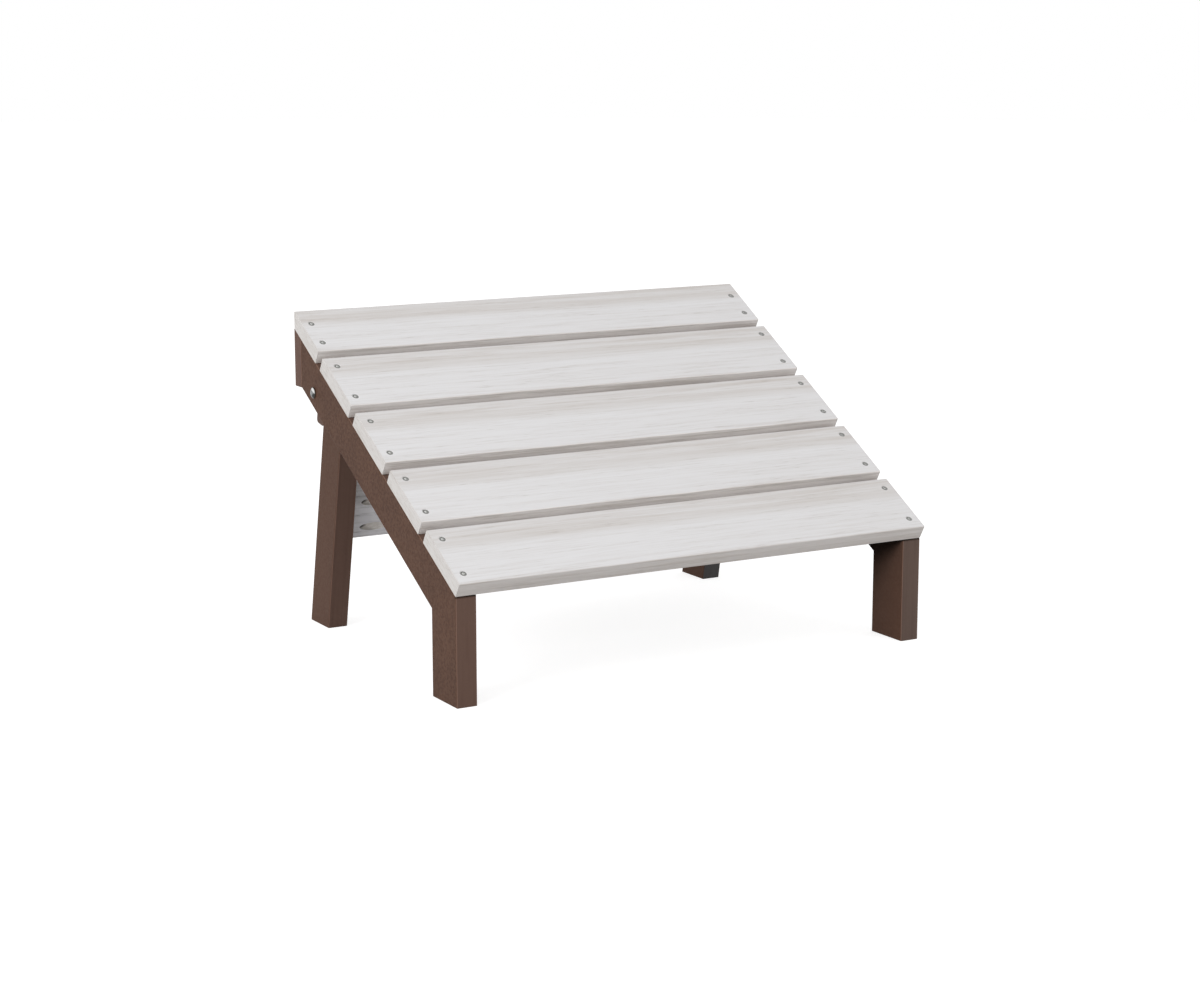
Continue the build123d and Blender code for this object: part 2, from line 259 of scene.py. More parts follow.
class Graph:
    """The node graph of one material or world."""

    def __init__(self, owner: Material | bpy.types.World) -> None:
        """Empties the graph of a material or world.

        Args:
            owner: The material or world.
        """
        self.owner = owner
        owner.use_nodes = True
        self.tree = owner.node_tree
        self.tree.nodes.clear()

    def node(
        self,
        kind: str,
        settings: dict[str, object] | None = None,
        sockets: dict[str | int, object] | None = None,
        out: str | int = 0,
    ) -> Wire:
        """Adds a node.

        Args:
            kind: The node's type.
            settings: Its properties, which are set before its sockets.
            sockets: A value or a link for each socket that is used, by name or number.
            out: The output that is wanted, by name or number.

        Returns:
            That output.
        """
        made = self.tree.nodes.new(kind)
        for key, value in (settings or {}).items():
            setattr(made, key, value)
        for key, value in (sockets or {}).items():
            if isinstance(value, Wire):
                self.tree.links.new(value.socket, made.inputs[key])
            else:
                made.inputs[key].default_value = value
        return Wire(self, made.outputs[out])

    def end(self, shader: Wire, kind: str = "ShaderNodeOutputMaterial") -> Material | bpy.types.World:
        """Ends the graph in a shader.

        Args:
            shader: The shader.
            kind: The type of the output node.

        Returns:
            The material or world.
        """
        output = self.tree.nodes.new(kind)
        self.tree.links.new(shader.socket, output.inputs["Surface"])
        return self.owner

    def principled(self, sockets: dict[str, object]) -> Wire:
        """A Principled shader with those sockets."""
        return self.node("ShaderNodeBsdfPrincipled", sockets=sockets)

    def mix(self, factor: "Wire | float", first: "Wire | Colour", second: "Wire | Colour") -> Wire:
        """A colour that goes from first, at a factor of 0, to second, at 1."""
        return self.node("ShaderNodeMix", {"data_type": "RGBA"}, {0: factor, 6: first, 7: second}, 2)

    def place(self) -> Wire:
        """Object coordinates."""
        return self.node("ShaderNodeTexCoord", out="Object")

    def on_board(self, middle: Matrix) -> Wire:
        """Object coordinates measured from a board's middle and along its own axes."""
        sockets = {"Vector": self.place(), "Location": middle.to_translation(), "Rotation": middle.to_euler()}
        return self.node("ShaderNodeMapping", {"vector_type": "TEXTURE"}, sockets)

    def parts(self, vector: Wire) -> tuple[Wire, Wire, Wire]:
        """The three parts of a vector."""
        first = self.node("ShaderNodeSeparateXYZ", sockets={"Vector": vector})
        return first, first.beside("Y"), first.beside("Z")

    def vector(self, x: "Wire | float", y: "Wire | float", z: "Wire | float") -> Wire:
        """A vector from its three parts."""
        return self.node("ShaderNodeCombineXYZ", sockets={"X": x, "Y": y, "Z": z})

    def vector_math(self, operation: str, *vectors: "Wire | Point", out: str = "Vector") -> Wire:
        """A Vector Math node on some vectors."""
        return self.node("ShaderNodeVectorMath", {"operation": operation}, dict(enumerate(vectors)), out)

    def noise(self, vector: Wire, scale: Point | float, detail: float = 2.0, roughness: float = 0.5) -> Wire:
        """A cloudy value about one half.

        Args:
            vector: Where it is read.
            scale: How many clouds there are to the metre, along each axis or along all of them.
            detail: How many finer layers it has.
            roughness: How strong they are.

        Returns:
            The value.
        """
        axes = scale if isinstance(scale, tuple) else (scale, scale, scale)
        scaled = self.vector_math("MULTIPLY", vector, axes)
        sockets = {"Vector": scaled, "Scale": 1.0, "Detail": detail, "Roughness": roughness}
        return self.node("ShaderNodeTexNoise", sockets=sockets)

    def bump(self, height: Wire, depth: float) -> Wire:
        """A normal bent by a height from 0 to 1, which stands for that depth in metres."""
        return self.node("ShaderNodeBump", sockets={"Height": height, "Strength": 1.0, "Distance": depth})

    def seen(self) -> Wire:
        """1 for what the camera, a reflection or a clear piece shows, and 0 for light."""
        ray = self.node("ShaderNodeLightPath", out="Is Camera Ray")
        return (ray + ray.beside("Is Glossy Ray") + ray.beside("Is Transmission Ray")).climb(0.0, 1.0)


# ---------------------------------------------------------------- finishes

@dataclass(frozen=True)
class WhiteLumber:
    """Off-white poly lumber, streaked lengthwise with beige, mostly towards its back edge."""

    pale: Colour = srgb(229, 228, 229)
    # The front face's colour, painted lighter to make up for the shade in the gaps between the slats.
    warm: Colour = srgb(246, 241, 238)
    beige: Colour = srgb(197, 189, 182)
    fibre_and_shade: Colour = srgb(154, 147, 138)
    sawn: Colour = srgb(224, 220, 217)
    # The painted highlight on the eased edges at the board's ends.
    end_edge_highlight: Colour = srgb(242, 241, 240)
    dashed: float = 0.35
    roughness: float = 0.5
    grain_depth: float = 0.00012

    def material(self, name: str, lie: Lie, seed: float) -> Material:
        """The finish of one board.

        Args:
            name: The material's name.
            lie: How the board lies, with X along its grain and Y across it.
            seed: Shifts the grain, so that no two boards are alike.

        Returns:
            The material.
        """
        graph = Graph(bpy.data.materials.new(name))
        along, across, through = graph.parts(graph.on_board(lie.place))
        at_end = abs(along).climb(lie.half.x - 0.0012, lie.half.x - 0.0004)
        at_front = (0 - across).climb(lie.half.y - 0.0010, lie.half.y - 0.0003)
        run = along * (1 - at_end)
        drift = graph.noise(graph.vector(run + seed, across, seed), (3.0, 8.0, 1.0)) - 0.5
        wavy = (across + drift * 0.009) * (1 - at_end * 0.85)
        board = graph.vector(run + seed, wavy, through + at_end * seed)

        bands = graph.noise(graph.vector(run, wavy, 0.37), (1.6, 70.0, 1.0), 3.0, 0.6).climb(0.40, 0.62)
        streaks = graph.noise(board, (6.0, 210.0, 210.0), 4.0, 0.65).climb(0.46, 0.66)
        lines = graph.noise(board, (17.0, 620.0, 620.0), 3.0, 0.7).climb(0.47, 0.68)
        dashes = graph.noise(board, (55.0, 1300.0, 1300.0), 1.0).climb(0.56, 0.74)

        back = across.climb(0.05 * lie.half.y, 0.72 * lie.half.y)
        front = (0 - across).climb(0.80 * lie.half.y, 0.97 * lie.half.y)
        stain = bands * (back * 0.36 + 0.06) + back * 0.24 + front * streaks * 0.22
        grain = streaks * (back * 0.20 + at_end * 0.16 + at_front * 0.26 + 0.15)
        scores = lines * (back * 0.16 + at_end * 0.34 + at_front * 0.20 + 0.14)
        # Painted shade that darkens the lower part of the front face, lifted along a thin band; it mixes towards
        # the fibre colour, as the dashes do.
        thin_band = 1 - abs(through - 0.0010).climb(0.0003, 0.0014)
        shade = at_front * ((0 - through).climb(-0.0018, 0.0004) * 0.10 - thin_band * 0.10)
        # A painted highlight on the eased edges at the board's ends.
        eased = abs(along).climb(lie.half.x - 0.0011, lie.half.x - 0.0007) * (1 - at_end * 0.8)

        colour = graph.mix(at_end, graph.mix(at_front, self.pale, self.warm), self.sawn)
        colour = graph.mix(stain * (1 - at_end), colour, self.beige)
        colour = graph.mix(grain, colour, self.beige)
        colour = graph.mix(scores, colour, self.beige)
        colour = graph.mix(dashes * streaks * self.dashed + shade, colour, self.fibre_and_shade)
        colour = graph.mix(eased * 0.6, colour, self.end_edge_highlight)
        return graph.end(graph.principled({
            "Base Color": colour,
            "Roughness": self.roughness - lines * 0.08,
            "Specular IOR Level": 0.2,
            "Normal": graph.bump(lines * 0.5 + streaks * 0.5, self.grain_depth),
        }))


@dataclass(frozen=True)
class BrownLumber:
    """Brown poly lumber: its outer face finely mottled, the others smooth, and a paler line at each arris that is
    a painted highlight.
    """

    face: Colour = srgb(96, 68, 53)
    fleck: Colour = srgb(78, 53, 41)
    edge: Colour = srgb(105, 82, 72)
    drawn: Colour = srgb(90, 68, 59)
    arris_highlight: Colour = srgb(150, 120, 106)
    # The near-black of the painted shadow under the slats.
    shadow_black: Colour = srgb(17, 13, 11)
    mottle: float = 1.0
    roughness: float = 0.55
    grain_depth: float = 0.00016

    def material(self, name: str, lie: Lie, brow: Vector | None = None) -> Material:
        """The finish of one board.

        Args:
            name: The material's name.
            lie: How the board lies, with X through it to its outer face and Z along its grain.
            brow: The front edge of the slats' undersides, for a board that gets painted shadow behind it and right
                under it.

        Returns:
            The material.
        """
        graph = Graph(bpy.data.materials.new(name))
        board = graph.on_board(lie.place)
        through, _, _ = graph.parts(board)
        cells = graph.noise(board, 300.0, 3.0, 0.65)
        clouds = graph.noise(board, 26.0)
        pores = graph.noise(board, 1500.0, 1.0)
        grain = graph.noise(board, (160.0, 160.0, 7.0), 3.0, 0.6)

        depth = lie.half.x - abs(through)
        on_face = 1 - depth.climb(0.0004, 0.0010)
        arris = depth.climb(0.0001, 0.0005) * (1 - depth.climb(0.0007, 0.0012))
        flecks = cells.climb(0.40, 0.62) * 0.65 + clouds.climb(0.35, 0.65) * 0.3 - 0.5
        flecks = flecks * (through.climb(-0.002, 0.002) * self.mottle * 0.8 + self.mottle * 0.2) + 0.5
        faces = graph.mix(flecks, self.face, self.fleck)
        edges = graph.mix(grain.climb(0.42, 0.75) * 0.5, self.edge, self.drawn)
        colour = graph.mix(on_face, edges, faces)
        skin = graph.principled({
            # A painted highlight along each arris, flecked by the pores.
            "Base Color": graph.mix(arris * (0.45 + pores * 0.35), colour, self.arris_highlight),
            "Roughness": self.roughness + (cells - 0.5) * 0.2,
            "Specular IOR Level": 0.1,
            "Normal": graph.bump(cells * 0.7 + pores * 0.3, self.grain_depth),
        })
        # Painted shadow: near-black shade on the inner face behind the slats' brow, and a thin shadow line right
        # under the brow.
        if brow is not None:
            shadow_paint = graph.principled({"Base Color": self.shadow_black, "Roughness": 1.0, "Specular IOR Level": 0.0})
            shadow_share = self.painted_shadow_share(graph, through, brow)
            skin = graph.node("ShaderNodeMixShader", sockets={0: shadow_share, 1: skin, 2: shadow_paint})
        return graph.end(skin)

    @staticmethod
    def painted_shadow_share(graph: Graph, through: Wire, brow: Vector) -> Wire:
        """How much painted shadow a side panel gets in the nook behind the brow, and along a thin band right under
        it.

        Args:
            graph: The panel's graph.
            through: The place through the panel, which is negative in its inner half.
            brow: The front edge of the slats' undersides.

        Returns:
            A value from 0 to 1.
        """
        _, behind, rise = graph.parts(graph.on_board(Matrix.Translation(brow)))
        dip = graph.node("ShaderNodeMath", {"operation": "ARCTAN2"}, {0: 0 - rise, 1: behind})
        inside = (0 - through).climb(-0.002, 0.002)
        # Painted shadow that fades with the angle below the brow, and a thin painted shadow line just under it at
        # the front.
        nook_shadow = (1 - dip.climb(0.32, 1.12)) * (1 - behind.climb(0.065, 0.160)) * inside
        thin_band = rise.climb(-0.0026, -0.0008) * (1 - behind.climb(0.0016, 0.0024))
        return nook_shadow * 0.9 + thin_band * 0.6


@dataclass(frozen=True)
class StainlessSteel:
    """Stainless steel, with faint smears and scratches."""

    clean: Colour = srgb(200, 200, 198)
    dull: Colour = srgb(158, 159, 160)
    roughness: float = 0.2

    def material(self, name: str) -> Material:
        """The finish of the steel pieces that share it.

        Args:
            name: The material's name.

        Returns:
            The material.
        """
        graph = Graph(bpy.data.materials.new(name))
        place = graph.place()
        smears = graph.noise(place, 420.0, 3.0, 0.6)
        scratches = graph.noise(place, (3000.0, 500.0, 500.0))
        return graph.end(graph.principled({
            "Base Color": graph.mix(smears.climb(0.35, 0.75) * 0.6, self.clean, self.dull),
            "Metallic": 1.0,
            "Roughness": self.roughness + (smears + scratches - 1) * 0.12,
            "Normal": graph.bump(scratches, 0.00001),
        }))


@dataclass(frozen=True)
class BoltSteel:
    """The polished head of a bolt: a painted highlight on top, a painted dark reflection low on its dome, and
    painted shade round its rim.
    """

    # A painted highlight, a painted dark reflection and a ring of painted shade at the rim, over the grey steel.
    painted_highlight: Colour = srgb(232, 232, 231)
    grey: Colour = srgb(134, 136, 136)
    painted_dark_reflection: Colour = srgb(58, 60, 60)
    rim: Colour = srgb(66, 56, 50)
    radius: float = 0.0067

    def material(self, name: str, middle: Point) -> Material:
        """The finish of both bolts.

        Args:
            name: The material's name.
            middle: A point on the line through both heads.

        Returns:
            The material.
        """
        graph = Graph(bpy.data.materials.new(name))
        place = graph.place()
        _, depth, height = graph.parts(graph.vector_math("SUBTRACT", place, middle))
        smears = graph.noise(place, 420.0, 3.0, 0.6) - 0.5
        # rise places the painted highlight high on the dome, and sunk places a painted dark reflection low on it.
        rise = height - depth * 0.6 + smears * 0.002
        sunk = 0 - height * 0.8 - depth * 0.6
        from_middle = graph.vector_math("LENGTH", graph.vector(0.0, depth, height), out="Value")
        # Painted dark reflection, painted highlight, and painted shade in a dark ring round the rim.
        colour = graph.mix(sunk.climb(0.0008, 0.0040), self.grey, self.painted_dark_reflection)
        colour = graph.mix(rise.climb(0.0028, 0.0048), colour, self.painted_highlight)
        colour = graph.mix(from_middle.climb(self.radius * 0.82, self.radius * 0.97), colour, self.rim)
        return graph.end(graph.principled({
            "Base Color": colour,
            "Metallic": 1.0,
            "Roughness": 0.14 + smears * 0.1,
            "Normal": graph.bump(smears, 0.00001),
        }))


@dataclass(frozen=True)
class PocketWall:
    """The wall of a pocket: pale at its mouth, with painted shade where the drill went deepest."""

    pale: Colour = srgb(247, 243, 238)
    crumb: Colour = srgb(222, 217, 210)
    painted_deep_shade: Colour = srgb(52, 48, 44)

    def material(self, name: str, lie: Lie) -> Material:
        """The finish of every pocket in one board.

        Args:
            name: The material's name.
            lie: How the board lies, with the pockets opening on its upper face.

        Returns:
            The material.
        """
        graph = Graph(bpy.data.materials.new(name))
        board = graph.on_board(lie.place)
        _, _, through = graph.parts(board)
        crumbs = graph.noise(board, (90.0, 900.0, 900.0), 3.0, 0.6)
        # Painted shade that darkens the wall where the pocket is deepest.
        deep_shade_share = (lie.half.z - through).climb(0.0062, 0.0081)
        colour = graph.mix(crumbs.climb(0.4, 0.7), self.pale, self.crumb)
        return graph.end(graph.principled({
            "Base Color": graph.mix(deep_shade_share, colour, self.painted_deep_shade),
            "Roughness": 0.75 + (crumbs - 0.5) * 0.2,
            "Specular IOR Level": 0.2,
            "Normal": graph.bump(crumbs, 0.00012),
        }))


@dataclass(frozen=True)
class Nylon:
    """The pale nylon ring of a lock nut."""

    colour: Colour = srgb(206, 210, 214)
    shaded: Colour = srgb(180, 184, 190)

    def material(self, name: str) -> Material:
        """The finish of both rings.

        Args:
            name: The material's name.

        Returns:
            The material.
        """
        graph = Graph(bpy.data.materials.new(name))
        clouds = graph.noise(graph.place(), 600.0)
        return graph.end(graph.principled({
            "Base Color": graph.mix(clouds.climb(0.4, 0.7), self.colour, self.shaded),
            "Roughness": 0.32 + clouds * 0.15,
            "Normal": graph.bump(clouds, 0.00002),
        }))


class Finishes:
    """The finishes that several pieces share."""

    def __init__(self) -> None:
        """Makes each of them once."""
        # A darker, rougher steel: painted shade for the flat top of each screw's head.
        dull = StainlessSteel(srgb(130, 130, 127), srgb(92, 92, 90), 0.35)
        _, pivot_y, pivot_z = frame["joints"][0]["pos_m"]
        self.steel = StainlessSteel().material("stainless_steel")
        self.painted_shade_steel = dull.material("painted_shade_steel")
        self.bolt_steel = BoltSteel().material("bolt_steel", (0.0, pivot_y, pivot_z))
        self.nylon = Nylon().material("white_nylon")


# ---------------------------------------------------------------- modelling

class Bench:
    """Modelling with Blender's own operators, one piece at a time."""

    flat_angle = math.radians(0.5)
    smooth_angle = math.radians(40.0)

    @staticmethod
    def take(*pieces: Piece) -> None:
        """Selects some pieces and nothing else.

        Args:
            pieces: The pieces, of which the first is made active.
        """
        bpy.ops.object.select_all(action="DESELECT")
        for piece in pieces:
            piece.select_set(True)
        bpy.context.view_layer.objects.active = pieces[0]

    @staticmethod
    def block(name: str, low: Sequence[float], high: Sequence[float]) -> Piece:
        """A box.

        Args:
            name: The piece's name.
            low: Its lowest corner.
            high: Its highest corner.

        Returns:
            The box.
        """
        low, high = Vector(low), Vector(high)
        bpy.ops.object.select_all(action="DESELECT")
        bpy.ops.mesh.primitive_cube_add(size=1.0, location=(low + high) / 2, scale=high - low)
        bpy.context.object.name = name
        return Bench.settle(bpy.context.object)

    @staticmethod
    def turned(name: str, rings: Outline, sides: int = 48) -> Piece:
        """A solid turned about Z.

        Args:
            name: The piece's name.
            rings: The radius and height of each ring, from one end to the other.
            sides: How many flats go round.

        Returns:
            The closed solid.
        """
        radius, height = rings[0]
        bpy.ops.object.select_all(action="DESELECT")
        bpy.ops.mesh.primitive_circle_add(
            vertices=sides, radius=radius, fill_type="NGON", location=(0.0, 0.0, height)
        )
        piece = Bench.settle(bpy.context.object)
        piece.name = name
        with Bench.edit(piece):
            for next_radius, next_height in rings[1:]:
                step = (0.0, 0.0, next_height - height)
                share = next_radius / radius
                bpy.ops.mesh.extrude_region_move(TRANSFORM_OT_translate={"value": step})
                bpy.ops.transform.resize(value=(share, share, 1.0), center_override=(0.0, 0.0, next_height))
                radius, height = next_radius, next_height
        Bench.close(piece)
        return piece

    @staticmethod
    @contextmanager
    def edit(piece: Piece, kind: Element | None = None, test: Test | None = None) -> Iterator[None]:
        """Edit mode on a piece, with all of it selected, or the elements of one kind that pass a test.

        Args:
            piece: The piece to edit.
            kind: The kind of element, where not everything is selected.
            test: Takes what Element.listed gives for an element.

        Yields:
            Nothing, while the piece is in edit mode.
        """
        Bench.take(piece)
        bpy.ops.object.mode_set(mode="EDIT")
        bpy.ops.mesh.select_all(action="SELECT")
        if kind is not None:
            bpy.ops.mesh.select_mode(type=kind.value)
            bpy.ops.mesh.select_all(action="DESELECT")
            mesh = bmesh.from_edit_mesh(piece.data)
            for element, facts in kind.listed(mesh):
                if test(*facts):
                    element.select_set(True)
            bmesh.update_edit_mesh(piece.data)
        yield
        bpy.ops.object.mode_set(mode="OBJECT")

    @staticmethod
    def round_edges(piece: Piece, radius: float, segments: int, test: Test) -> None:
        """Rounds the edges whose two ends pass a test."""
        with Bench.edit(piece, Element.EDGE, test):
            bpy.ops.mesh.bevel(offset=radius, segments=segments, profile=0.5, affect="EDGES")

    @staticmethod
    def push(piece: Piece, step: Sequence[float], test: Test) -> None:
        """Moves the corners whose place passes a test."""
        with Bench.edit(piece, Element.CORNER, test):
            bpy.ops.transform.translate(value=step)

    @staticmethod
    def pull(piece: Piece, step: Sequence[float], test: Test) -> None:
        """Extrudes the faces whose middle and normal pass a test."""
        with Bench.edit(piece, Element.FACE, test):
            bpy.ops.mesh.extrude_region_move(TRANSFORM_OT_translate={"value": step})

    @staticmethod
    def cut(piece: Piece, point: Sequence[float], normal: Sequence[float], trim: bool = False) -> None:
        """Cuts a piece along a plane, where trim takes off the part on the normal's side and closes it."""
        with Bench.edit(piece):
            bpy.ops.mesh.bisect(plane_co=point, plane_no=normal, use_fill=trim, clear_outer=trim)

    @staticmethod
    def merge_flats(piece: Piece) -> None:
        """Merges neighbouring faces that lie in one plane."""
        with Bench.edit(piece):
            bpy.ops.mesh.dissolve_limited(angle_limit=Bench.flat_angle)

    @staticmethod
    def close(piece: Piece) -> None:
        """Merges doubled corners and turns every face outwards.

        Args:
            piece: The piece.
        """
        with Bench.edit(piece):
            bpy.ops.mesh.remove_doubles(threshold=WELD)
            bpy.ops.mesh.normals_make_consistent(inside=False)

    @staticmethod
    def settle(piece: Piece, place: Matrix | None = None) -> Piece:
        """Puts a piece's place into its mesh.

        Args:
            piece: The piece.
            place: Where it goes first, or None for where it is.

        Returns:
            The piece, whose object is at the origin.
        """
        Bench.take(piece)
        if place is not None:
            piece.matrix_world = place
        bpy.ops.object.transform_apply(location=True, rotation=True, scale=True)
        return piece

    @staticmethod
    def repeat(name: str, pattern: Piece, places: Iterable[Matrix]) -> Piece:
        """Copies a pattern, which is used up, to each place.

        Args:
            name: The name of the result.
            pattern: What is copied.
            places: Where the copies go.

        Returns:
            One piece of all the copies.
        """
        copies = []
        for place in places:
            copy = pattern.copy()
            copy.data = pattern.data.copy()
            bpy.context.scene.collection.objects.link(copy)
            copies.append(Bench.settle(copy, place))
        bpy.data.objects.remove(pattern)
        Bench.take(*copies)
        if len(copies) > 1:
            bpy.ops.object.join()
        copies[0].name = name
        return copies[0]

    @staticmethod
    def carve(piece: Piece, tool: Piece, operation: str = "DIFFERENCE") -> None:
        """Takes a tool out of a piece, or does another Boolean operation.

        Args:
            piece: The piece.
            tool: The tool, which is used up.
            operation: DIFFERENCE, UNION or INTERSECT.
        """
        Bench.take(piece)
        modifier = piece.modifiers.new("carve", "BOOLEAN")
        modifier.operation = operation
        modifier.solver = "EXACT"
        modifier.material_mode = "TRANSFER"
        modifier.object = tool
        bpy.ops.object.modifier_apply(modifier=modifier.name)
        bpy.data.objects.remove(tool)

    @staticmethod
    def dress(piece: Piece, finish: Material, test: Test | None = None) -> None:
        """Gives a piece a finish.

        Args:
            piece: The piece.
            finish: The finish.
            test: Takes the middle and normal of a face that may get it, or None for all over.
        """
        if test is None:
            piece.data.materials.clear()
        piece.data.materials.append(finish)
        if test is not None:
            with Bench.edit(piece, Element.FACE, test):
                piece.active_material_index = len(piece.data.materials) - 1
                bpy.ops.object.material_slot_assign()

    @staticmethod
    def shade(piece: Piece) -> None:
        """Smooth shading over small bends, with the flat faces kept flat.

        Args:
            piece: The piece.
        """
        Bench.take(piece)
        bpy.ops.object.shade_smooth_by_angle(angle=Bench.smooth_angle)
        modifier = piece.modifiers.new("flats", "WEIGHTED_NORMAL")
        modifier.keep_sharp = True
        bpy.ops.object.modifier_apply(modifier=modifier.name)


def install(piece: Piece, body: Body, node: str, slot: Slot) -> Piece:
    """Shades a finished piece and hands it to the frame.

    Args:
        piece: The piece, dressed and with its place in its mesh.
        body: The body that it rides on.
        node: The CAD node that it stands for.
        slot: The record's slot that its finish belongs to; it is not used.

    Returns:
        The piece.
    """
    Bench.shade(piece)
    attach(piece, body.value)
    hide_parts(node)
    return piece


# ---------------------------------------------------------------- what the frame says

class Survey:
    """Planes, extents and screw places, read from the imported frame."""

    def __init__(self) -> None:
        """Reads the planes of deck and legs, the pivot, the slats' brow and every screw's place."""
        mounts = {mount["name"]: mount for mount in frame["record"]["mounts"]}
        _, towards_back, up = mounts["deck_face"]["axis"]
        foot = Vector(mounts["rear_foot_left"]["pos_m"])
        self.pivot = Vector(frame["joints"][0]["pos_m"])
        self.slope = math.atan2(-towards_back, up)
        lean = math.atan2(foot.y - self.pivot.y, self.pivot.z)
        self.deck = self.tilted(mounts["deck_face"]["pos_m"], self.slope)
        self.legs = self.tilted(self.pivot, lean)
        front_low, _ = self.span(f"slat_{SLATS[-1]}", self.deck)
        self.brow = self.deck @ Vector((0.0, *front_low.yz))
        self.deck_heads = {
            number: self.heads(f"slat_{number}_screws", lambda _: self.deck.col[2].to_3d())
            for number in SLATS
        }
        self.apron_heads = self.heads("apron_screws", lambda _: Vector((0.0, 1.0, 0.0)))
        self.stop_heads = self.heads("stop_screws", lambda _: self.legs.col[1].to_3d())
        self.pocket_heads = self.heads("pocket_screws", self.out_of_pocket)

    @staticmethod
    def tilted(origin: Sequence[float], angle: float) -> Matrix:
        """A plane through a point, tilted about X."""
        return Matrix.Translation(origin) @ Matrix.Rotation(angle, 4, "X")

    def out_of_pocket(self, middle: Vector) -> Vector:
        """The way out of a pocket.

        Args:
            middle: The middle of the pocket's screw.

        Returns:
            The direction.
        """
        angle = math.radians(POCKET_ANGLE)
        inwards = -math.copysign(math.cos(angle), middle.x)
        return self.legs.to_3x3() @ Vector((inwards, -math.sin(angle), 0.0))

    def pivot_place(self, side: Side) -> Matrix:
        """Where a pivot meets the outer face of its side panel.

        Args:
            side: The side.

        Returns:
            The place, with Z pointing out.
        """
        low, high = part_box(f"side_{side.word}")
        face = low.x if side is Side.LEFT else high.x
        return Matrix.Translation((face, self.pivot.y, self.pivot.z)) @ turn(90 * side.value, "Y")

    @staticmethod
    def span(node: str, plane: Matrix) -> tuple[Vector, Vector]:
        """The extent of a node.

        Args:
            node: The node's name.
            plane: The plane that it is measured on.

        Returns:
            The lowest and the highest corner.
        """
        back = plane.inverted()
        axes = list(zip(*(back @ corner.co for corner in frame["nodes"][node].data.vertices)))
        return Vector([min(axis) for axis in axes]), Vector([max(axis) for axis in axes])

    @staticmethod
    def solids(node: str) -> list[list[Vector]]:
        """Tells the separate solids of a node apart.

        Args:
            node: The node's name.

        Returns:
            The corners of each solid.
        """
        mesh = bmesh.new()
        mesh.from_mesh(frame["nodes"][node].data)
        bmesh.ops.remove_doubles(mesh, verts=mesh.verts, dist=WELD)
        waiting, groups = set(mesh.verts), []
        while waiting:
            reached = [waiting.pop()]
            for corner in reached:
                near = {edge.other_vert(corner) for edge in corner.link_edges} & waiting
                waiting -= near
                reached.extend(near)
            groups.append([corner.co.copy() for corner in reached])
        mesh.free()
        return groups

    def heads(self, node: str, way: Callable[[Vector], Vector]) -> list[Matrix]:
        """The place at the head of each screw of a node.

        Args:
            node: The node's name.
            way: Gives the direction out of a screw's head, from the screw's middle.

        Returns:
            For each screw, the place of its head's top with Z pointing out.
        """
        places = []
        for solid in self.solids(node):
            middle = sum(solid, Vector()) / len(solid)
            out = way(middle).normalized()
            top = max((corner - middle).dot(out) for corner in solid)
            upright = out.to_track_quat("Z", "Y").to_matrix().to_4x4()
            places.append(Matrix.Translation(middle + out * top) @ upright)
        return places


# ---------------------------------------------------------------- screws

def thread(radius: float, depth: float, pitch: float, start: float, end: float) -> Outline:
    """The rings of a thread.

    Args:
        radius: The radius over its ridges.
        depth: How deep its grooves are.
        pitch: From ridge to ridge.
        start: How far below Z = 0 it starts.
        end: How far below Z = 0 it ends.

    Returns:
        The radius and height of each ring, downwards.
    """
    rings = []
    ridge = -start - pitch
    while ridge > pitch - end:
        rings += [(radius - depth, ridge + pitch / 2), (radius, ridge)]
        ridge -= pitch
    return rings + [(radius - depth, ridge + pitch / 2), (radius - depth, -end)]


